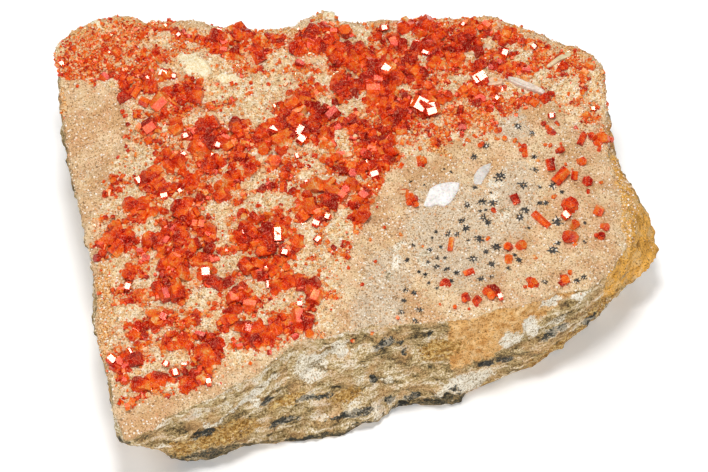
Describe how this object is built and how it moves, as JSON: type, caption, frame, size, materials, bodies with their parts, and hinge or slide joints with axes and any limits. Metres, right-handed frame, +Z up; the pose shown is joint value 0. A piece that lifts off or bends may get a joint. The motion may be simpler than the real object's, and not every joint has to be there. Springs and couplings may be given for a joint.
{
  "type": "vanadinite on matrix",
  "caption": "Loose mineral specimen: a slab of foliated rock with hexagonal orange-red vanadinite crystals on its upper face, resting on a flat underside.",
  "frame": {"origin": "middle of the specimen's box, on the flat face that it rests on", "axes": "+X along the slab's width, +Y from the broken front face to the back, +Z up, out of the crystal-bearing face"},
  "size_m": [0.1115, 0.0909, 0.03],
  "materials": {
    "matrix_stone": "rough, grainy cream and tan rock, olive-brown where broken, ochre on the right rim",
    "vanadinite": "glossy translucent orange-red crystal with an adamantine lustre"
  },
  "bodies": {
    "root": {"cluster_back_01": "vanadinite", "cluster_back_02": "vanadinite", "cluster_back_03": "vanadinite", "cluster_back_04": "vanadinite", "cluster_back_05": "vanadinite", "cluster_back_06": "vanadinite", "cluster_back_07": "vanadinite", "cluster_back_08": "vanadinite", "cluster_back_09": "vanadinite", "cluster_edge": "vanadinite", "cluster_front_01": "vanadinite", "cluster_front_02": "vanadinite", "cluster_front_03": "vanadinite", "cluster_front_04": "vanadinite", "cluster_front_05": "vanadinite", "cluster_front_06": "vanadinite", "cluster_front_07": "vanadinite", "cluster_low_01": "vanadinite", "cluster_low_02": "vanadinite", "cluster_low_03": "vanadinite", "cluster_middle_01": "vanadinite", "cluster_middle_02": "vanadinite", "cluster_middle_03": "vanadinite", "cluster_middle_04": "vanadinite", "cluster_middle_05": "vanadinite", "cluster_middle_06": "vanadinite", "cluster_middle_07": "vanadinite", "cluster_middle_08": "vanadinite", "cluster_middle_09": "vanadinite", "cluster_middle_10": "vanadinite", "cluster_middle_11": "vanadinite", "cluster_middle_12": "vanadinite", "cluster_orange": "vanadinite", "cluster_red": "vanadinite", "crystal_01": "vanadinite", "crystal_02": "vanadinite", "crystal_03": "vanadinite", "crystal_04": "vanadinite", "crystal_05": "vanadinite", "crystal_06": "vanadinite", "crystal_07": "vanadinite", "crystal_08": "vanadinite", "crystal_09": "vanadinite", "crystal_10": "vanadinite", "crystal_11": "vanadinite", "crystal_12": "vanadinite", "crystal_13": "vanadinite", "crystal_14": "vanadinite", "crystal_15": "vanadinite", "crystal_16": "vanadinite", "matrix": "matrix_stone", "pair_groove": "vanadinite", "pair_rim": "vanadinite", "prism_groove": "vanadinite", "prism_large": "vanadinite", "prism_long": "vanadinite", "prism_low": "vanadinite", "prism_rim": "vanadinite", "prism_upright": "vanadinite", "rosette_right": "vanadinite"}
  },
  "joints": []
}
